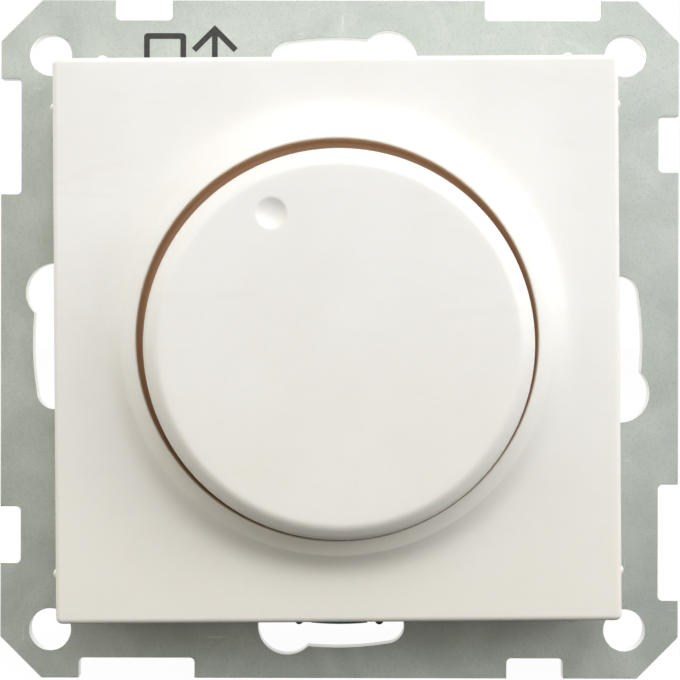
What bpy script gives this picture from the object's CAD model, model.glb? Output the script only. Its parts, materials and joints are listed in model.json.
"""A wall-mounted rotary control: a square white cover plate with a round well, a knob in the well,
a zinc support frame and the CAD parts behind it.

The scene is in metres with +Z up. The front of the device faces -Y, and +X is to its right.
The modelled pieces use local millimetres: x right, y up, z out of the wall.
"""
import json
import math

import bmesh
import bpy
import numpy as np
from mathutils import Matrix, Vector

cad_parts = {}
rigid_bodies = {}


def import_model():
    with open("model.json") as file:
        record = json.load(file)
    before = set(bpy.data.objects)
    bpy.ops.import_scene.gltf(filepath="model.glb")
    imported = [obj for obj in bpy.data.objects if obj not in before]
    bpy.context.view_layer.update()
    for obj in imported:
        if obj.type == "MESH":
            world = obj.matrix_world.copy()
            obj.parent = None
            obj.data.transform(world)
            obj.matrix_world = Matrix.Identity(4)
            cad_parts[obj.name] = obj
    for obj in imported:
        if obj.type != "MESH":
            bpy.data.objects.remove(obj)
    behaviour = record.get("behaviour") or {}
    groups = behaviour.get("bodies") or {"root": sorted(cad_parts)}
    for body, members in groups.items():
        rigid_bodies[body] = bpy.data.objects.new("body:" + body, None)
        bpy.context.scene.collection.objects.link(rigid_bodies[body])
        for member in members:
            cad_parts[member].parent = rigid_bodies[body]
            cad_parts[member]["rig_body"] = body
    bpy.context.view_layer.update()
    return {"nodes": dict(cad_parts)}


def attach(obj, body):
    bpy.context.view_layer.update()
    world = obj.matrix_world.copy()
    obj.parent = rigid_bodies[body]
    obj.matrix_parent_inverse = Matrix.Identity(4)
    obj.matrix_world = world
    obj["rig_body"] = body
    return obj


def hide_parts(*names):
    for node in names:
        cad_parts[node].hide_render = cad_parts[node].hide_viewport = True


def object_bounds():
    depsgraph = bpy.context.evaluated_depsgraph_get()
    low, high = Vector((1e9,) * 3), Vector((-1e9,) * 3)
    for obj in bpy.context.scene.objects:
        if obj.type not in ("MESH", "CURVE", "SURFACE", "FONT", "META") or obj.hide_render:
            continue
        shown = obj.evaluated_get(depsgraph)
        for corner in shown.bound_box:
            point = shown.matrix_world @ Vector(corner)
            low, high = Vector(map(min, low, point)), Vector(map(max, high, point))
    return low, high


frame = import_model()
NODES = frame["nodes"]
MM = 0.001

# ---------------------------------------------------------------- node material helpers


def rgb(*channels):
    """Linear RGBA from sRGB channels of 0 to 255."""
    srgb = [c / 255 for c in channels]
    return (*(c / 12.92 if c <= 0.04045 else ((c + 0.055) / 1.055) ** 2.4 for c in srgb), 1.0)


def shades(color, spread, rise):
    """A darker and a lighter version of a linear colour."""
    dark = tuple(c * (1 - spread) for c in color[:3]) + (1.0,)
    light = tuple(min(1.0, c * (1 + spread * rise)) for c in color[:3]) + (1.0,)
    return dark, light


def add_node(tree, kind, inputs=None, **props):
    """A node whose inputs are set from values or linked from sockets."""
    node = tree.nodes.new(kind)
    for key, value in props.items():
        setattr(node, key, value)
    for key, value in (inputs or {}).items():
        if isinstance(value, bpy.types.NodeSocket):
            tree.links.new(value, node.inputs[key])
        else:
            node.inputs[key].default_value = value
    return node


class Material:
    """A node material in object coordinates. Texture scales are per metre."""

    def __init__(self, name):
        self.material = bpy.data.materials.new(name)
        self.material.use_nodes = True
        self.tree = self.material.node_tree
        self.tree.nodes.clear()
        self.out = self.node("ShaderNodeOutputMaterial")
        self.coord = self.node("ShaderNodeTexCoord").outputs["Object"]

    def node(self, kind, inputs=None, **props):
        return add_node(self.tree, kind, inputs, **props)

    def math(self, op, a, b=0.0):
        return self.node("ShaderNodeMath", {0: a, 1: b, 2: 0.0}, operation=op).outputs[0]

    def times(self, a, b):
        return self.math("MULTIPLY", a, b)

    def plus(self, a, b):
        return self.math("ADD", a, b)

    def ramp(self, value, over=(0.3, 0.7), to=(0.0, 1.0)):
        """Smooth step across `over`, remapped to `to`."""
        return self.node("ShaderNodeMapRange", {
            "Value": value, "From Min": over[0], "From Max": over[1],
            "To Min": to[0], "To Max": to[1]}, interpolation_type="SMOOTHSTEP").outputs["Result"]

    def mapped(self, scale, turn):
        """Object coordinates turned by `turn` radians and scaled along each axis."""
        return self.node("ShaderNodeMapping", {
            "Vector": self.coord, "Scale": scale, "Rotation": turn}).outputs[0]

    def noise(self, scale, detail=3.0, rough=0.5, vector=None, distort=0.0):
        return self.node("ShaderNodeTexNoise", {
            "Vector": vector or self.coord, "Scale": scale, "Detail": detail,
            "Roughness": rough, "Distortion": distort}).outputs["Fac"]

    def voronoi(self, scale, feature="F1", out="Distance"):
        return self.node("ShaderNodeTexVoronoi", {"Vector": self.coord, "Scale": scale},
                         feature=feature).outputs[out]

    def mix(self, factor, a, b):
        return self.node("ShaderNodeMix", {0: factor, 6: a, 7: b}, data_type="RGBA").outputs[2]

    def two_tone(self, value, dark, light):
        return self.mix(self.ramp(value), dark, light)

    def tint(self, col, mask, amount, color):
        """The colour with some of another laid over it where the mask is."""
        return self.mix(self.times(mask, amount), col, color)

    def xyz(self, vector):
        return tuple(self.node("ShaderNodeSeparateXYZ", {"Vector": vector}).outputs)

    def red(self, color):
        return self.node("ShaderNodeSeparateColor", {"Color": color}).outputs[0]

    def bump(self, height, strength, distance, normal=None):
        inputs = {"Height": height, "Strength": strength, "Distance": distance}
        if normal is not None:
            inputs["Normal"] = normal
        return self.node("ShaderNodeBump", inputs).outputs[0]

    def surface(self, shader):
        """Ends the tree with a shader node and gives the finished material."""
        self.tree.links.new(shader.outputs[0], self.out.inputs["Surface"])
        return self.material

    def principled(self, color, rough, normal, metallic=0.0, **more):
        inputs = {"Base Color": color, "Roughness": rough, "Metallic": metallic, "Normal": normal}
        for key, value in more.items():
            inputs[key.replace("_", " ")] = value
        return self.surface(self.node("ShaderNodeBsdfPrincipled", inputs))


# ---------------------------------------------------------------- materials


def plastic(name, srgb, rough, spread, grain=7000.0, grain_depth=4e-6, dust=0.0, flow=True):
    """Moulded plastic: slow colour drift, faint flow lines, fine grain and uneven gloss."""
    mat = Material(name)
    dark, light = shades(rgb(*srgb), spread, rise=0.5)
    col = mat.two_tone(mat.noise(scale=110.0, rough=0.55), dark, light)
    if flow:
        lines = mat.noise(scale=60.0, detail=4.0, rough=0.6, distort=0.6,
                          vector=mat.mapped(scale=(1.0, 1.0, 9.0), turn=(0.3, 0.2, 0.1)))
        col = mat.tint(col, mat.ramp(lines, over=(0.55, 0.75)), amount=0.25, color=dark)
    fine = mat.noise(scale=grain, detail=2.0, rough=0.6)
    mid = mat.noise(scale=900.0, rough=0.55)
    if dust:
        spots = mat.ramp(mat.voronoi(scale=650.0), over=(0.035, 0.012))
        col = mat.tint(col, spots, amount=dust, color=(0.45, 0.42, 0.36, 1))
    gloss = mat.plus(mat.ramp(mid, to=(rough - 0.06, rough + 0.06)),
                     mat.ramp(fine, to=(-0.02, 0.02)))
    relief = mat.bump(fine, strength=0.55, distance=grain_depth,
                      normal=mat.bump(mid, strength=0.35, distance=9e-6))
    return mat.principled(col, gloss, relief, IOR=1.49)


def metal(name, srgb, rough, spread, brushed=0.0, tarnish=None):
    """Metal: mottled tone, rubbed and dull patches, fine scratches and patches of tarnish."""
    mat = Material(name)
    dark, light = shades(rgb(*srgb), spread, rise=0.6)
    big = mat.noise(scale=420.0, detail=4.0, rough=0.6)
    col = mat.two_tone(big, dark, light)
    if tarnish:
        patches = mat.noise(scale=260.0, detail=5.0, rough=0.65, distort=0.8)
        col = mat.mix(mat.ramp(patches, over=(0.52, 0.72), to=(0.0, 0.55)), col, rgb(*tarnish))
    fine = mat.noise(scale=5200.0, detail=2.0, rough=0.6)
    streak = mat.noise(scale=900.0, rough=0.6,
                       vector=mat.mapped(scale=(1.0, 14.0, 1.0), turn=(0.2, 0.1, 0.5)))
    gloss = mat.plus(mat.ramp(big, over=(0.25, 0.75), to=(rough - 0.1, rough + 0.1)),
                     mat.ramp(streak, to=(-0.05, 0.05)))
    lines = mat.noise(scale=1300.0, detail=1.0, rough=0.4,
                      vector=mat.mapped(scale=(1.0, 1.0, 26.0), turn=(0.6, 0.1, 0.3)))
    scratch = mat.ramp(lines, over=(0.66, 0.7))
    height = mat.plus(mat.times(fine, 0.5), mat.times(scratch, -0.5 - brushed))
    return mat.principled(col, gloss, mat.bump(height, strength=0.5, distance=6e-6), metallic=1.0)


def white_cover(name, well=None):
    """Warm white satin plastic, slightly translucent.

    `well` is the centre x and z, the radius and the rim height of a round well, in metres. Its
    inside is tinted tan and glows faintly, as light seeps through the plastic round the gap.
    """
    mat = Material(name)
    x, y, z = mat.xyz(mat.coord)
    col = mat.two_tone(mat.noise(scale=95.0), rgb(247, 243, 236), rgb(250, 247, 241))
    # faint flow marks, handling smudges and specks
    flow = mat.noise(scale=70.0, detail=4.0, rough=0.62, distort=1.2,
                     vector=mat.mapped(scale=(1.0, 1.0, 5.0), turn=(0, 0.5, 0)))
    col = mat.mix(mat.ramp(flow, over=(0.52, 0.78), to=(0.0, 0.22)), col, rgb(238, 233, 220))
    smudge = mat.noise(scale=180.0, detail=6.0, rough=0.7, distort=0.4)
    col = mat.mix(mat.ramp(smudge, over=(0.6, 0.8), to=(0.0, 0.1)), col, rgb(214, 208, 194))
    speck = mat.ramp(mat.voronoi(scale=260.0), over=(0.018, 0.008))
    col = mat.tint(col, speck, amount=0.25, color=rgb(168, 156, 134))
    # warmer towards the bottom
    col = mat.mix(mat.ramp(z, over=(0.014, -0.03), to=(0.0, 0.6)), col, rgb(243, 237, 223))
    glow = {}
    if well:
        centre_x, centre_z, radius, rim = well
        dx = mat.math("SUBTRACT", x, centre_x)
        dz = mat.math("SUBTRACT", z, centre_z)
        from_axis = mat.math("SQRT", mat.plus(mat.times(dx, dx), mat.times(dz, dz)))
        out = mat.times(y, -1.0)
        inside = mat.times(mat.ramp(from_axis, over=(radius + 0.00012, radius + 0.00004)),
                           mat.ramp(out, over=(rim - 0.0001, rim - 0.0012)))
        col = mat.mix(inside, col, rgb(196, 152, 106))
        # the glow grows with depth and fades towards the bottom of the well
        deep = mat.ramp(out, over=(rim - 0.0022, rim - 0.0056), to=(0.036, 0.134))
        shade = mat.ramp(z, over=(-0.017, 0.006), to=(0.3, 1.0))
        glow = {"Emission_Color": (1.0, 0.72, 0.5, 1),
                "Emission_Strength": mat.times(mat.times(inside, deep), shade)}
    fine = mat.noise(scale=6500.0, detail=2.0, rough=0.6)
    mid = mat.noise(scale=800.0, detail=4.0, rough=0.6)
    gloss = mat.plus(mat.ramp(mid, to=(0.4, 0.5)),
                     mat.ramp(smudge, over=(0.5, 0.8), to=(0.0, -0.06)))
    relief = mat.bump(fine, strength=0.4, distance=3.5e-6,
                      normal=mat.bump(mid, strength=0.3, distance=6e-6))
    return mat.principled(col, gloss, relief, IOR=1.47, Subsurface_Weight=0.12,
                          Subsurface_Radius=(1.0, 0.72, 0.42), Subsurface_Scale=0.0012, **glow)


def zinc_sheet():
    """Zinc-plated steel: pale grey-green, soft spangle, fine grain, specks and a few scuffs."""
    mat = Material("zinc_sheet")
    x, _, z = mat.xyz(mat.coord)
    cloud = mat.noise(scale=130.0, detail=5.0, rough=0.6, distort=0.7)
    col = mat.two_tone(cloud, rgb(187, 193, 182), rgb(203, 207, 198))
    spangle = mat.red(mat.voronoi(scale=850.0, feature="SMOOTH_F1", out="Color"))
    col = mat.tint(col, spangle, amount=0.10, color=rgb(150, 156, 146))
    grain = mat.noise(scale=2600.0, detail=4.0, rough=0.65,
                      vector=mat.mapped(scale=(1.0, 1.0, 0.45), turn=(0, 0, 0)))
    col = mat.mix(mat.ramp(grain, over=(0.35, 0.72), to=(0.0, 0.16)), col, rgb(214, 218, 206))
    sand = mat.noise(scale=5200.0, rough=0.6)
    col = mat.mix(mat.ramp(sand, over=(0.5, 0.72), to=(0.0, 0.34)), col, rgb(140, 146, 138))
    cool = mat.noise(scale=240.0)
    col = mat.mix(mat.ramp(cool, over=(0.5, 0.75), to=(0.0, 0.2)), col, rgb(172, 176, 176))
    # bright specks and short scuffs in two directions, then darker pits
    specks = mat.times(mat.ramp(mat.voronoi(scale=560.0), over=(0.06, 0.02)),
                       mat.ramp(mat.noise(scale=150.0, detail=2.0), over=(0.56, 0.66)))
    scuff_a = mat.noise(scale=330.0, detail=2.0,
                        vector=mat.mapped(scale=(0.8, 1.0, 4.0), turn=(0, 1.1, 0)))
    scuff_b = mat.noise(scale=300.0, detail=2.0,
                        vector=mat.mapped(scale=(4.5, 1.0, 0.8), turn=(0, 0.7, 0)))
    scuffs = mat.math("MAXIMUM", mat.ramp(scuff_a, over=(0.735, 0.77)),
                      mat.ramp(scuff_b, over=(0.745, 0.78)))
    bright = mat.math("MAXIMUM", specks, scuffs)
    col = mat.tint(col, bright, amount=0.42, color=rgb(226, 230, 218))
    pits = mat.times(mat.ramp(mat.voronoi(scale=700.0), over=(0.07, 0.02)),
                     mat.ramp(mat.noise(scale=210.0, detail=2.0), over=(0.5, 0.62)))
    col = mat.tint(col, pits, amount=0.22, color=rgb(128, 132, 122))
    # the sheared edges are darker than the faces, but the walls of the openings, whose normals
    # point towards the middle, are burnished and bright
    normal_x, normal_y, normal_z = mat.xyz(mat.node("ShaderNodeTexCoord").outputs["Normal"])
    side = mat.ramp(mat.math("ABSOLUTE", normal_y), over=(0.75, 0.35))
    inward = mat.plus(mat.times(normal_x, x), mat.times(normal_z, z))
    burnish = mat.times(side, mat.ramp(inward, over=(-0.001, -0.006)))
    col = mat.tint(col, side, amount=0.5, color=rgb(112, 114, 106))
    col = mat.tint(col, burnish, amount=0.9, color=rgb(236, 238, 234))
    gloss = mat.plus(mat.ramp(cloud, to=(0.44, 0.54)), mat.times(bright, -0.12))
    height = mat.plus(mat.times(grain, 0.6), mat.times(bright, -0.5))
    relief = mat.bump(height, strength=0.5, distance=5e-6,
                      normal=mat.bump(spangle, strength=0.1, distance=4e-6))
    return mat.principled(col, gloss, relief, metallic=0.3, IOR=1.6,
                          Emission_Color=(1, 1, 0.98, 1),
                          Emission_Strength=mat.times(burnish, 0.42))


def circuit_board():
    """Green solder mask with lighter tracks and a faint brick-like grid."""
    mat = Material("circuit_green")
    grid = mat.node("ShaderNodeTexBrick", {
        "Vector": mat.mapped(scale=(1, 1, 1), turn=(math.pi / 2, 0, 0)), "Scale": 230.0,
        "Color1": (0.55, 0.55, 0.55, 1), "Color2": (0.0, 0.0, 0.0, 1),
        "Mortar": (1, 1, 1, 1), "Mortar Size": 0.012}).outputs["Color"]
    tracks = mat.ramp(mat.noise(scale=230.0, detail=1.0, rough=0.3), over=(0.45, 0.5))
    col = mat.mix(tracks, rgb(24, 84, 50), rgb(40, 120, 70))
    col = mat.tint(col, mat.red(grid), amount=0.3, color=rgb(60, 140, 84))
    fine = mat.noise(scale=4200.0, detail=2.0)
    height = mat.plus(tracks, mat.times(fine, 0.1))
    return mat.principled(col, mat.ramp(fine, to=(0.28, 0.42)),
                          mat.bump(height, strength=0.5, distance=3e-5))


def print_ink():
    """Dark printed ink, slightly worn."""
    mat = Material("print_ink")
    worn = mat.noise(scale=2600.0, detail=4.0, rough=0.7)
    col = mat.mix(mat.ramp(worn, over=(0.3, 0.75)), rgb(44, 43, 40), rgb(66, 65, 60))
    return mat.principled(col, mat.ramp(worn, to=(0.5, 0.7)),
                          mat.bump(worn, strength=0.3, distance=4e-6))


def fuse_glass():
    mat = Material("fuse_glass")
    smear = mat.noise(scale=700.0, detail=4.0, rough=0.6)
    col = mat.mix(smear, (0.82, 0.93, 0.9, 1), (0.93, 0.98, 0.96, 1))
    return mat.principled(col, mat.ramp(smear, to=(0.03, 0.14)),
                          mat.bump(smear, strength=0.1, distance=1e-5),
                          Transmission_Weight=0.9, IOR=1.5)


def enamelled_wire():
    """Mottled copper under a clear glossy coat."""
    mat = Material("wire_enamel")
    mottle = mat.noise(scale=1500.0)
    col = mat.mix(mottle, rgb(150, 72, 30), rgb(206, 120, 58))
    return mat.principled(col, mat.ramp(mottle, to=(0.18, 0.34)),
                          mat.bump(mottle, strength=0.3, distance=1e-5), metallic=0.85,
                          Coat_Weight=0.6, Coat_Roughness=0.12)


# material for each CAD slot; colours are sRGB, `spread` is the variation of tone
SLOTS = {
    "zinc_plate": zinc_sheet(),
    "ivory_plastic": plastic("ivory_moulding", (226, 221, 205), rough=0.42, spread=0.06),
    "dark_plastic": plastic("dark_moulding", (58, 62, 62), rough=0.5, spread=0.16, dust=0.2),
    "teal_plastic": plastic("teal_moulding", (62, 142, 122), rough=0.42, spread=0.1),
    "grey_plastic": plastic("grey_moulding", (216, 217, 213), rough=0.46, spread=0.05, dust=0.25),
    "red_plastic": plastic("red_moulding", (196, 62, 42), rough=0.4, spread=0.1),
    "board_green": circuit_board(),
    "black_epoxy": plastic("black_epoxy_case", (38, 38, 40), rough=0.55, spread=0.2,
                           grain=3600.0, grain_depth=1e-5),
    "phenolic": plastic("brown_laminate", (128, 86, 50), rough=0.55, spread=0.2,
                        grain=2600.0, grain_depth=1e-5),
    "carbon": plastic("carbon_track", (34, 34, 34), rough=0.6, spread=0.25,
                      grain=3000.0, grain_depth=8e-6, flow=False),
    "yellow_plastic": plastic("yellow_box", (222, 188, 48), rough=0.35, spread=0.07),
    "brick_epoxy": plastic("brick_dip", (146, 48, 32), rough=0.3, spread=0.14),
    "beige_ceramic": plastic("beige_lacquer", (196, 172, 128), rough=0.38, spread=0.12),
    "orange_glass": plastic("orange_bead", (206, 112, 52), rough=0.2, spread=0.12),
    "clear_glass": fuse_glass(),
    "brass": metal("turned_brass", (206, 172, 96), rough=0.3, spread=0.12,
                   tarnish=(150, 116, 62)),
    "bronze": metal("sprung_bronze", (206, 160, 92), rough=0.34, spread=0.14,
                    tarnish=(150, 104, 60)),
    "tinned_brass": metal("tinned_pins", (200, 198, 188), rough=0.36, spread=0.1),
    "nickel_brass": metal("plated_caps", (206, 204, 196), rough=0.26, spread=0.1),
    "copper": metal("copper_strip", (204, 130, 84), rough=0.32, spread=0.15,
                    tarnish=(140, 84, 54)),
    "enamelled_copper": enamelled_wire(),
    "nickel_steel": metal("plated_steel", (190, 190, 184), rough=0.32, spread=0.12,
                          tarnish=(150, 148, 138)),
    "white_shaft_steel": metal("ground_shaft", (204, 204, 202), rough=0.24, spread=0.08,
                               brushed=0.5),
    "spring_steel": metal("spring_wire", (182, 184, 186), rough=0.3, spread=0.12),
    "aluminium": metal("rolled_aluminium", (200, 202, 204), rough=0.38, spread=0.08, brushed=0.4),
    "yellow_core": plastic("core_coating", (206, 196, 84), rough=0.55, spread=0.12,
                           grain=2400.0, grain_depth=1e-5),
}
INK = print_ink()

# ---------------------------------------------------------------- mesh helpers


def mesh_object(name, verts, faces, mat, body, sharp, replaces=()):
    """A smooth-shaded object from local millimetres, sharp above an angle in degrees."""
    x, y, z = np.asarray(verts, float).T
    places = np.stack([x, -z, y], -1) * MM
    mesh = bpy.data.meshes.new(name)
    mesh.from_pydata([tuple(p) for p in places], [], faces)
    mesh.validate()
    bm = bmesh.new()
    bm.from_mesh(mesh)
    bmesh.ops.recalc_face_normals(bm, faces=bm.faces)
    bm.to_mesh(mesh)
    bm.free()
    mesh.polygons.foreach_set("use_smooth", [True] * len(mesh.polygons))
    mesh.set_sharp_from_angle(angle=math.radians(sharp))
    mesh.materials.append(mat)
    obj = bpy.data.objects.new(name, mesh)
    bpy.context.scene.collection.objects.link(obj)
    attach(obj, body)
    if replaces:
        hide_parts(*replaces)


def tube_faces(rings, count, closed=False):
    """Quads between successive rings of `count` points each."""
    faces = []
    for i in range(rings if closed else rings - 1):
        here, there = i * count, (i + 1) % rings * count
        faces += [(here + k, here + (k + 1) % count, there + (k + 1) % count, there + k)
                  for k in range(count)]
    return faces


def fan(first, count, apex, flip=False):
    """Triangles from the ring that starts at point `first` to an apex."""
    pairs = [(first + k, first + (k + 1) % count) for k in range(count)]
    return [(*(pair[::-1] if flip else pair), apex) for pair in pairs]


def box_mesh(x0, x1, y0, y1, z0, z1):
    verts = [(x, y, z) for z in (z0, z1) for x, y in ((x0, y0), (x1, y0), (x1, y1), (x0, y1))]
    faces = [(0, 3, 2, 1), (4, 5, 6, 7), (0, 1, 5, 4), (1, 2, 6, 5), (2, 3, 7, 6), (3, 0, 4, 7)]
    return np.array(verts, float), faces


def pin_mesh(x, y, radius, low, high, count=24, steps=8):
    """A pin along z with round ends, whose centres are at `low` and `high`."""
    around_pin = np.linspace(0, 2 * math.pi, count, endpoint=False)
    rings = []
    for angle in np.linspace(-90, 90, 2 * steps)[1:-1]:
        ring_r = radius * math.cos(math.radians(angle))
        z = (low if angle < 0 else high) + radius * math.sin(math.radians(angle))
        rings.append(np.column_stack([x + ring_r * np.cos(around_pin),
                                      y + ring_r * np.sin(around_pin), np.full(count, z)]))
    verts = np.concatenate(rings + [np.array([[x, y, low - radius], [x, y, high + radius]])])
    faces = tube_faces(len(rings), count)
    faces += fan(0, count, len(verts) - 2, flip=True)
    faces += fan((len(rings) - 1) * count, count, len(verts) - 1)
    return verts, faces


def merge(parts):
    """One vertex array and face list from several."""
    all_verts, all_faces, base = [], [], 0
    for verts, faces in parts:
        all_verts.append(verts)
        all_faces += [tuple(i + base for i in face) for face in faces]
        base += len(verts)
    return np.concatenate(all_verts), all_faces


def rotated(verts, degrees):
    """Points turned counterclockwise about the local z axis."""
    cos, sin = math.cos(math.radians(degrees)), math.sin(math.radians(degrees))
    x, y, z = verts.T
    return np.column_stack([x * cos - y * sin, x * sin + y * cos, z])


# ---------------------------------------------------------------- cover plate (mm)

PLATE_HALF = 27.55            # half the side of the square
PLATE_CORNER = 0.65           # corner radius seen from the front
PLATE_EDGE = 0.6              # rounding between face and side walls
PLATE_FACE = 10.4
PLATE_UNDER = PLATE_FACE - 1.8
PLATE_INNER = PLATE_HALF - 1.6  # inside of the side walls
WALL_FOOT = 3.0               # back edge of the side walls
WELL_R = 19.31
WELL_RIM = 12.15
WELL_FLOOR = 4.2
WELL_BACK = 2.6               # back of the well floor
WELL_BORE = 5.75
SLEEVE_R = WELL_R + 1.5       # outside of the well wall
PLATE_SHIFT = (-0.15, 0.43)   # the plate sits a little off centre
PLATE_TURN = 0.5              # and is turned by this many degrees
SIDE_POINTS, CORNER_POINTS = 132, 10

RIM_DROP = 0.40               # fall of the sloping rim
BLEND_IN, BLEND_OUT = WELL_R + 1.47, WELL_R + 4.85
BLEND_RISE = 1.35             # height of the blend at the crease
# slope in degrees at even steps from the crease out to the face
BLEND_SLOPES = (46.0, 45.0, 43.0, 38.0, 30.5, 22.5, 15.0, 8.5, 4.5, 2.0, 0.7, 0.0)


def square_ring(half, corner, z):
    """A rounded square, counterclockwise from the lower end of its right side."""
    flat = half - corner
    reach = math.atan2(flat, half)
    points = []
    for quarter in range(4):
        side = []
        for i in range(SIDE_POINTS):
            angle = -reach + 2 * reach * (i + 1) / (SIDE_POINTS + 1)
            side.append((half, half * math.tan(angle)))
        arc = [(flat + corner * math.cos(angle), flat + corner * math.sin(angle))
               for angle in np.linspace(0, math.pi / 2, CORNER_POINTS)]
        cos, sin = math.cos(quarter * math.pi / 2), math.sin(quarter * math.pi / 2)
        points += [(x * cos - y * sin, x * sin + y * cos) for x, y in side + arc]
    return np.column_stack([np.array(points), np.full(len(points), z)])


# circles have their points at the same angles as the outer square
OUTLINE = square_ring(PLATE_HALF, PLATE_CORNER, 0.0)
RING_ANGLES = np.arctan2(OUTLINE[:, 1], OUTLINE[:, 0])
RING_POINTS = len(OUTLINE)


def circle_ring(radius, z):
    return np.column_stack([radius * np.cos(RING_ANGLES), radius * np.sin(RING_ANGLES),
                            np.full(RING_POINTS, z)])


def well_profile():
    """Radius and z along the well, from its bore over the floor and up the wall."""
    points = [(WELL_BORE, WELL_BACK), (WELL_BORE, 2.7), (WELL_BORE, 4.05), (5.8, 4.15)]
    points += [(radius, WELL_FLOOR) for radius in (5.9, 6.1, 10.0, 15.0)]
    fillet = 0.35
    for degrees in np.linspace(0, 90, 6):
        angle = math.radians(degrees)
        points.append((WELL_R - fillet + fillet * math.sin(angle),
                       WELL_FLOOR + fillet - fillet * math.cos(angle)))
    return points + [(WELL_R, z) for z in (5.5, 7.5, 9.5, 11.0, 11.6)]


def collar_profile():
    """Radius and z over the collar: rounded inner edge, sloping rim, crease and blend."""
    points = []
    lip = 0.13
    for degrees in np.linspace(0, 80, 9):
        angle = math.radians(degrees)
        points.append((WELL_R + lip - lip * math.cos(angle),
                       WELL_RIM - lip + lip * math.sin(angle)))

    for t in np.linspace(0.08, 0.9, 10):
        radius = WELL_R + 0.1 + (BLEND_IN - WELL_R - 0.1) * t
        points.append((radius, WELL_RIM - RIM_DROP * t ** 1.5))

    radii = np.linspace(BLEND_IN, BLEND_OUT, len(BLEND_SLOPES))
    fall = np.tan(np.radians(np.array(BLEND_SLOPES)))
    drop = np.concatenate([[0.0], np.cumsum((fall[1:] + fall[:-1]) / 2 * np.diff(radii))])
    heights = (drop[-1] - drop) * (BLEND_RISE / drop[-1])

    def blend_z(radius):
        return PLATE_FACE + float(np.interp(radius, radii, heights))

    # a small rounding over the crease: a quadratic curve from rim to blend
    start = np.array([BLEND_IN - 0.127, WELL_RIM - RIM_DROP * 0.9 ** 1.5])
    middle = np.array([BLEND_IN + 0.02, blend_z(BLEND_IN) + 0.005])
    end = np.array([BLEND_IN + 0.16, blend_z(BLEND_IN + 0.16)])
    for t in np.linspace(0, 1, 5)[1:]:
        points.append((1 - t) ** 2 * start + 2 * t * (1 - t) * middle + t * t * end)
    points += [(radius, blend_z(radius)) for radius in radii[1:]]
    return points + [(BLEND_OUT + step, PLATE_FACE) for step in (0.35, 1.1, 2.0)]


def wall_rings():
    """Square rings over the face's rounded edge, down the side walls and up inside them."""
    squares = [(PLATE_HALF - PLATE_EDGE - step, 0.12, PLATE_FACE) for step in (0.3, 0.08)]
    for degrees in np.linspace(0, 90, 10):
        angle = math.radians(degrees)
        half = PLATE_HALF - PLATE_EDGE + PLATE_EDGE * math.sin(angle)
        squares.append((half, max(0.12, PLATE_CORNER - (PLATE_HALF - half)),
                        PLATE_FACE - PLATE_EDGE + PLATE_EDGE * math.cos(angle)))
    for z in (PLATE_FACE - PLATE_EDGE - 0.15, 7.5, 5.0, 3.3):
        squares.append((PLATE_HALF, PLATE_CORNER, z))
    foot = 0.12
    for degrees in (0, 30, 60, 90):
        angle = math.radians(degrees)
        inset = foot - foot * math.cos(angle)
        squares.append((PLATE_HALF - inset, PLATE_CORNER - inset,
                        WALL_FOOT + foot - foot * math.sin(angle)))
    squares += [(PLATE_INNER + 0.1, 0.3, WALL_FOOT), (PLATE_INNER, 0.25, WALL_FOOT + 0.1),
                (PLATE_INNER, 0.25, PLATE_UNDER - 0.1), (PLATE_INNER - 0.1, 0.2, PLATE_UNDER)]
    return [square_ring(*square) for square in squares]


# radius and z along the back of the face, the sleeve and the back of the well floor
UNDERSIDE = [(24.6, PLATE_UNDER), (SLEEVE_R + 0.2, PLATE_UNDER), (SLEEVE_R, PLATE_UNDER - 0.2),
             (SLEEVE_R, 5.0), (SLEEVE_R, 2.7), (SLEEVE_R - 0.1, WELL_BACK), (12.0, WELL_BACK)]


def build_plate():
    rings = [circle_ring(*point) for point in well_profile() + collar_profile()]
    rings += wall_rings() + [circle_ring(*point) for point in UNDERSIDE]
    parts = [(np.concatenate(rings), tube_faces(len(rings), RING_POINTS, closed=True))]
    for angle in range(0, 360, 90):
        # pins along the side wall and cut-off pins at the well wall
        pins = [pin_mesh(x, 27.65, radius=0.55, low=5.1, high=8.0) for x in (-23, 23)]
        for x in (-5, 5):
            verts, faces = pin_mesh(x, 19.0, radius=1.0, low=3.35, high=3.4)
            verts[:, 2] = np.maximum(verts[:, 2], 2.4)
            pins.append((verts, faces))
        parts += [(rotated(verts, angle), faces) for verts, faces in pins]
        # ribs behind the face, to the sides and to the corners
        for outer, turn in ((26.0, angle), (36.2, angle + 45)):
            verts, faces = box_mesh(20.6, outer, -0.5, 0.5, 6.2, 8.7)
            parts.append((rotated(verts, turn), faces))
    verts, faces = merge(parts)
    verts = rotated(verts, PLATE_TURN) + (*PLATE_SHIFT, 0.0)
    mat = white_cover("cover_white", well=(PLATE_SHIFT[0] * MM, PLATE_SHIFT[1] * MM,
                                           WELL_R * MM, WELL_RIM * MM))
    mesh_object("cover_plate_shell", verts, faces, mat, "root", sharp=30.0,
                replaces=("cover_plate",))


# ---------------------------------------------------------------- knob (mm)

KNOB_R = 18.6
KNOB_BACK = 5.9
KNOB_FACE = 16.7
KNOB_TURN = 27.5              # degrees counterclockwise from the dish pointing up
DISH_AT = 13.6                # from the knob's axis
DISH_R = 2.9 / 2
DISH_RISE = 2.12              # centre of the dish's sphere above the face
DISH_SOFT = 0.045             # softening of the dish's edge

# radius and z over the rounding of the face's edge; the two end points only steer the curve
SHOULDER = np.array([
    (15.85, 16.7), (16.3, 16.7), (16.7, 16.67), (17.05, 16.53), (17.37, 16.3), (17.65, 16.05),
    (17.9, 15.8), (18.13, 15.35), (18.31, 14.7), (18.45, 13.9), (18.55, 13.2), (18.59, 12.5),
    (KNOB_R, 11.6)])
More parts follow.
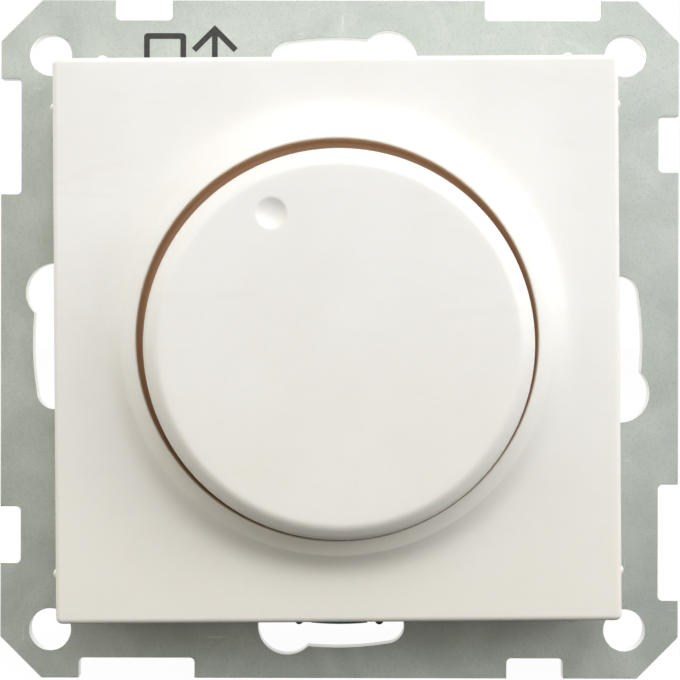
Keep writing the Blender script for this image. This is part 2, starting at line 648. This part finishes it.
# radius and z down the side, round the back edge, up the hollow and into the hub's bore
KNOB_SIDE = [
    (KNOB_R, 12.4), (KNOB_R, 10.0), (KNOB_R, 7.5), (KNOB_R, 6.2), (KNOB_R - 0.04, 6.0),
    (KNOB_R - 0.15, KNOB_BACK), (KNOB_R - 0.55, KNOB_BACK), (16.85, KNOB_BACK), (16.75, 6.0),
    (16.75, 9.0), (16.75, 13.0), (16.35, 13.7), (15.45, 14.9), (12.0, 14.9), (5.2, 14.9),
    (4.7, 14.7), (4.6, 14.4), (4.6, 9.0), (4.5, 8.7), (3.2, 8.7), (3.05, 8.9), (3.03, 13.8),
    (2.9, 14.1)]


def dish_depth(x, y):
    """Depth of the soft-edged round dish at points of the knob's face."""
    sphere_r = math.sqrt(DISH_RISE ** 2 + DISH_R ** 2)
    angle = math.radians(90 + KNOB_TURN)
    off_x, off_y = x - DISH_AT * math.cos(angle), y - DISH_AT * math.sin(angle)
    away2 = off_x ** 2 + off_y ** 2
    depth = np.sqrt(np.maximum(sphere_r * sphere_r - away2, 0.0)) - DISH_RISE
    soft = 0.5 * (depth + np.sqrt(depth * depth + DISH_SOFT * DISH_SOFT))
    tail = 0.5 * (-DISH_RISE + math.sqrt(DISH_RISE ** 2 + DISH_SOFT ** 2))
    return soft - tail * (away2 > sphere_r * sphere_r)


def knob_angles():
    """Angles round the knob, close together across the dish and wider elsewhere."""
    fine_step, coarse_step, span = 0.28, 1.35, 20
    start = 90 + KNOB_TURN - span / 2
    angles = [start + fine_step * i for i in range(int(span / fine_step) + 1)]
    last = angles[-1]
    left = 360 - (last - start)
    steps = int(left / coarse_step)
    angles += [last + left * (i + 1) / (steps + 1) for i in range(steps)]
    return np.radians(np.array(angles))


def shoulder_profile():
    """A Catmull-Rom curve through the shoulder's points, kept below the face."""
    points = []
    for i in range(1, len(SHOULDER) - 2):
        p0, p1, p2, p3 = SHOULDER[i - 1:i + 3]
        for t in (0.0, 0.34, 0.67):
            radius, z = 0.5 * ((2 * p1) + (-p0 + p2) * t + (2 * p0 - 5 * p1 + 4 * p2 - p3) * t * t
                               + (-p0 + 3 * p1 - 3 * p2 + p3) * t ** 3)
            points.append((radius, min(z, KNOB_FACE)))
    return points


def build_knob():
    angles = knob_angles()
    count = len(angles)
    cos, sin = np.cos(angles), np.sin(angles)
    rings = []
    for radius in (1.5, 4.0, 7.0, 9.5, 11.0, 11.8, *np.arange(11.9, 15.95, 0.075), 16.12):
        x, y = radius * cos, radius * sin
        rings.append(np.column_stack([x, y, KNOB_FACE - dish_depth(x, y)]))
    for radius, z in shoulder_profile() + KNOB_SIDE:
        rings.append(np.column_stack([radius * cos, radius * sin, np.full(count, z)]))
    verts = np.concatenate(rings + [np.array([[0, 0, KNOB_FACE], [0, 0, 14.1]])])
    faces = tube_faces(len(rings), count)
    faces += fan(0, count, len(verts) - 2)
    faces += fan((len(rings) - 1) * count, count, len(verts) - 1, flip=True)
    parts = [(verts, faces)]
    for angle in (45, 135, 225, 315):  # ribs from hub to wall
        verts, faces = box_mesh(4.4, 16.6, -0.6, 0.6, 12.1, 15.0)
        parts.append((rotated(verts, angle + KNOB_TURN), faces))
    verts, faces = merge(parts)
    mesh_object("rotary_knob_shell", verts, faces, white_cover("knob_white"), "knob",
                sharp=32.0, replaces=("rotary_knob",))


# ---------------------------------------------------------------- prints on the support frame (mm)

PRINT_Z = 1.2 + 0.001         # just clear of the frame's face
PRINT_THICK = 0.014
ARROW = [(-10.5, 30.75), (-10.93, 30.32), (-12.6, 31.99), (-12.6, 28.2), (-13.2, 28.2),
         (-13.2, 31.99), (-14.87, 30.32), (-15.3, 30.75), (-12.9, 33.15)]


def flat_print(name, outer, inner=None):
    """A thin raised print from a closed outline, or from two with the same number of points."""
    count = len(outer)
    outline = np.array(outer if inner is None else outer + inner, float)
    verts = np.concatenate([np.column_stack([outline, np.full(len(outline), z)])
                            for z in (PRINT_Z, PRINT_Z + PRINT_THICK)])
    ring = [(k, (k + 1) % count) for k in range(count)]
    if inner is None:
        faces = [tuple(range(count))[::-1], tuple(range(count, 2 * count))]
        faces += [(k, n, count + n, count + k) for k, n in ring]
    else:
        faces = []
        for k, n in ring:
            faces += [(2 * count + k, 2 * count + n, 3 * count + n, 3 * count + k),
                      (k, count + k, count + n, n), (k, n, 2 * count + n, 2 * count + k),
                      (count + k, 3 * count + k, 3 * count + n, count + n)]
    mesh_object(name, verts, faces, INK, "root", sharp=30.0)


def rounded_box(x0, x1, y0, y1, radius, steps=5):
    points = []
    for x, y, start in ((x1 - radius, y1 - radius, 0), (x0 + radius, y1 - radius, 90),
                        (x0 + radius, y0 + radius, 180), (x1 - radius, y0 + radius, 270)):
        for i in range(steps + 1):
            angle = math.radians(start + 90 * i / steps)
            points.append((x + radius * math.cos(angle), y + radius * math.sin(angle)))
    return points


# ---------------------------------------------------------------- bevelled copies of CAD parts

# node, bevel width in mm, bevel segments, whether curved faces keep all their facets
BEVELLED = (
    ("support_frame", 0.07, 2, False), ("inner_cover", 0.1, 2, True),
    ("fuse_carrier", 0.09, 2, True), ("rear_housing", 0.22, 3, True),
    ("housing_screws", 0.06, 2, False), ("terminal_screws", 0.07, 2, False),
    ("terminal_cages", 0.09, 2, False), ("cover_nut", 0.12, 2, False),
    ("heat_sink", 0.06, 2, False), ("film_capacitor", 0.3, 3, False),
    ("push_switch_case", 0.12, 2, False))


def bevelled(node, width, segments, keep_facets):
    """A copy of a CAD node with softened edges that stands for the node."""
    source = NODES[node]
    bm = bmesh.new()
    bm.from_mesh(source.data)
    bmesh.ops.remove_doubles(bm, verts=bm.verts, dist=2e-6)
    bmesh.ops.dissolve_degenerate(bm, dist=1e-7, edges=bm.edges)
    bmesh.ops.dissolve_limit(bm, angle_limit=math.radians(0.02 if keep_facets else 0.6),
                             verts=bm.verts, edges=bm.edges, use_dissolve_boundaries=False,
                             delimit=set())
    if keep_facets:
        bmesh.ops.triangulate(bm, faces=[f for f in bm.faces if len(f.verts) > 4],
                              ngon_method="BEAUTY")
    bmesh.ops.recalc_face_normals(bm, faces=bm.faces)
    mesh = bpy.data.meshes.new(node + "_shape")
    bm.to_mesh(mesh)
    bm.free()
    for name in ("custom_normal", "sharp_face", "sharp_edge"):
        if name in mesh.attributes:
            mesh.attributes.remove(mesh.attributes[name])
    mesh.polygons.foreach_set("use_smooth", [True] * len(mesh.polygons))
    slot = source.data.materials[0].name.split(".")[0]
    mesh.materials.clear()  # also resets the faces' material indices
    mesh.materials.append(SLOTS[slot])
    obj = bpy.data.objects.new(node + "_shape", mesh)
    bpy.context.scene.collection.objects.link(obj)
    bevel = obj.modifiers.new("soft_edges", "BEVEL")
    bevel.width = width * MM
    bevel.segments = segments
    bevel.limit_method = "ANGLE"
    bevel.angle_limit = math.radians(32.0)
    bevel.miter_outer = "MITER_ARC"
    bevel.use_clamp_overlap = True
    obj.modifiers.new("even_normals", "WEIGHTED_NORMAL").keep_sharp = False
    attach(obj, source["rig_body"])
    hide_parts(node)


def paint_cad_nodes():
    for obj in NODES.values():
        slot = obj.data.materials[0].name.split(".")[0] if obj.data.materials else None
        if slot in SLOTS:
            for material_slot in obj.material_slots:
                material_slot.link = "OBJECT"
                material_slot.material = SLOTS[slot]


# ---------------------------------------------------------------- floor, world, lights, camera (m)


def build_floor():
    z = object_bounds()[0].z - 0.00002
    half = 2.5
    mesh = bpy.data.meshes.new("floor")
    mesh.from_pydata([(-half, -half, z), (half, -half, z), (half, half, z), (-half, half, z)],
                     [], [(0, 1, 2, 3)])
    floor = bpy.data.objects.new("floor", mesh)
    bpy.context.scene.collection.objects.link(floor)
    # pale to the camera, but dark to other rays so that it throws little light back up
    mat = Material("studio_floor")
    camera_ray = mat.node("ShaderNodeLightPath").outputs["Is Camera Ray"]
    paper = mat.mix(mat.noise(scale=40.0), (0.80, 0.80, 0.79, 1), (0.83, 0.83, 0.82, 1))
    diffuse = mat.node("ShaderNodeBsdfDiffuse",
                       {"Color": mat.mix(camera_ray, (0.10, 0.10, 0.10, 1), paper)})
    glow = mat.node("ShaderNodeEmission", {"Color": (1, 1, 1, 1), "Strength": 1.02})
    mesh.materials.append(mat.surface(mat.node("ShaderNodeMixShader", {
        "Fac": mat.times(camera_ray, 0.93), 1: diffuse.outputs[0], 2: glow.outputs[0]})))


def build_world():
    """Warm light from everywhere, seen by the camera as plain white."""
    world = bpy.data.worlds.new("studio")
    bpy.context.scene.world = world
    world.use_nodes = True
    tree = world.node_tree
    tree.nodes.clear()
    light = add_node(tree, "ShaderNodeBackground",
                     {"Color": (1.0, 0.97, 0.915, 1), "Strength": 0.665})
    seen = add_node(tree, "ShaderNodeBackground", {"Color": (1, 1, 1, 1), "Strength": 1.0})
    path = add_node(tree, "ShaderNodeLightPath")
    mix = add_node(tree, "ShaderNodeMixShader", {
        "Fac": path.outputs["Is Camera Ray"], 1: light.outputs[0], 2: seen.outputs[0]})
    add_node(tree, "ShaderNodeOutputWorld", {"Surface": mix.outputs[0]})


# name, tilt off the front direction and angle counterclockwise from the right in degrees,
# distance, diameter, power, colour
FRONT_LIGHTS = (
    ("right_box", 60, 20, 0.45, 0.25, 0.71, (0.94, 0.965, 1.0)),
    ("upper_box", 38, 90, 0.45, 0.25, 0.43, (0.84, 0.9, 1.0)),
    ("left_box", 60, 160, 0.45, 0.25, 0.19, (1.0, 0.97, 0.8)),
    ("high_box", 60, 90, 0.45, 0.25, 0.06, (0.5, 0.6, 1.0)),
    ("corner_box", 35, 60, 0.42, 0.2, 0.23, (0.86, 0.93, 1.0)),
    ("low_left_box", 35, 180, 0.42, 0.2, 0.10, (1.0, 0.93, 0.75)),
    ("top_right_box", 50, 70, 0.42, 0.2, 0.085, (0.7, 0.8, 1.0)))
# white lights for the back and the sides: name, place, power
REAR_LIGHTS = (
    ("back_left", (-0.42, 0.34, 0.30), 0.9), ("back_right", (0.42, 0.30, 0.22), 0.5),
    ("side_left", (-0.62, 0.04, 0.12), 0.4), ("side_right", (0.62, 0.04, 0.12), 0.25))


def softbox(name, place, diameter, power, color=(1, 1, 1)):
    """A disk light aimed at the origin."""
    light = bpy.data.lights.new(name, "AREA")
    light.shape = "DISK"
    light.size = diameter
    light.energy = power
    light.color = color
    obj = bpy.data.objects.new(name, light)
    obj.location = place
    obj.rotation_mode = "QUATERNION"
    obj.rotation_quaternion = (-Vector(place)).to_track_quat("-Z", "Y")
    obj.visible_camera = False
    bpy.context.scene.collection.objects.link(obj)


def build_lights():
    for name, tilt, azimuth, distance, diameter, power, color in FRONT_LIGHTS:
        tilt, azimuth = math.radians(tilt), math.radians(azimuth)
        place = (distance * math.sin(tilt) * math.cos(azimuth), -distance * math.cos(tilt),
                 distance * math.sin(tilt) * math.sin(azimuth))
        softbox(name, place, diameter, power, color)
    for name, place, power in REAR_LIGHTS:
        softbox(name, place, diameter=0.3, power=power)


def build_camera():
    """A camera in front of the device, looking towards +Y."""
    camera = bpy.data.cameras.new("camera")
    camera.sensor_width = 36.0
    camera.lens = 64.85
    camera.shift_x, camera.shift_y = 0.0212, -0.01557
    camera.clip_start, camera.clip_end = 0.005, 20.0
    obj = bpy.data.objects.new("camera", camera)
    obj.location = (-0.00127, -0.1292, 0.001376)
    obj.rotation_euler = (math.pi / 2, math.radians(-0.12), 0)
    scene = bpy.context.scene
    scene.collection.objects.link(obj)
    scene.camera = obj
    scene.view_settings.view_transform = "Standard"


flat_print("square_print", rounded_box(-20.3, -15.9, 27.8, 32.3, radius=0.4),
           rounded_box(-19.7, -16.5, 28.4, 31.7, radius=0.12))
flat_print("arrow_print", ARROW)
build_plate()
build_knob()
for row in BEVELLED:
    bevelled(*row)
paint_cad_nodes()
build_floor()
build_world()
build_lights()
build_camera()
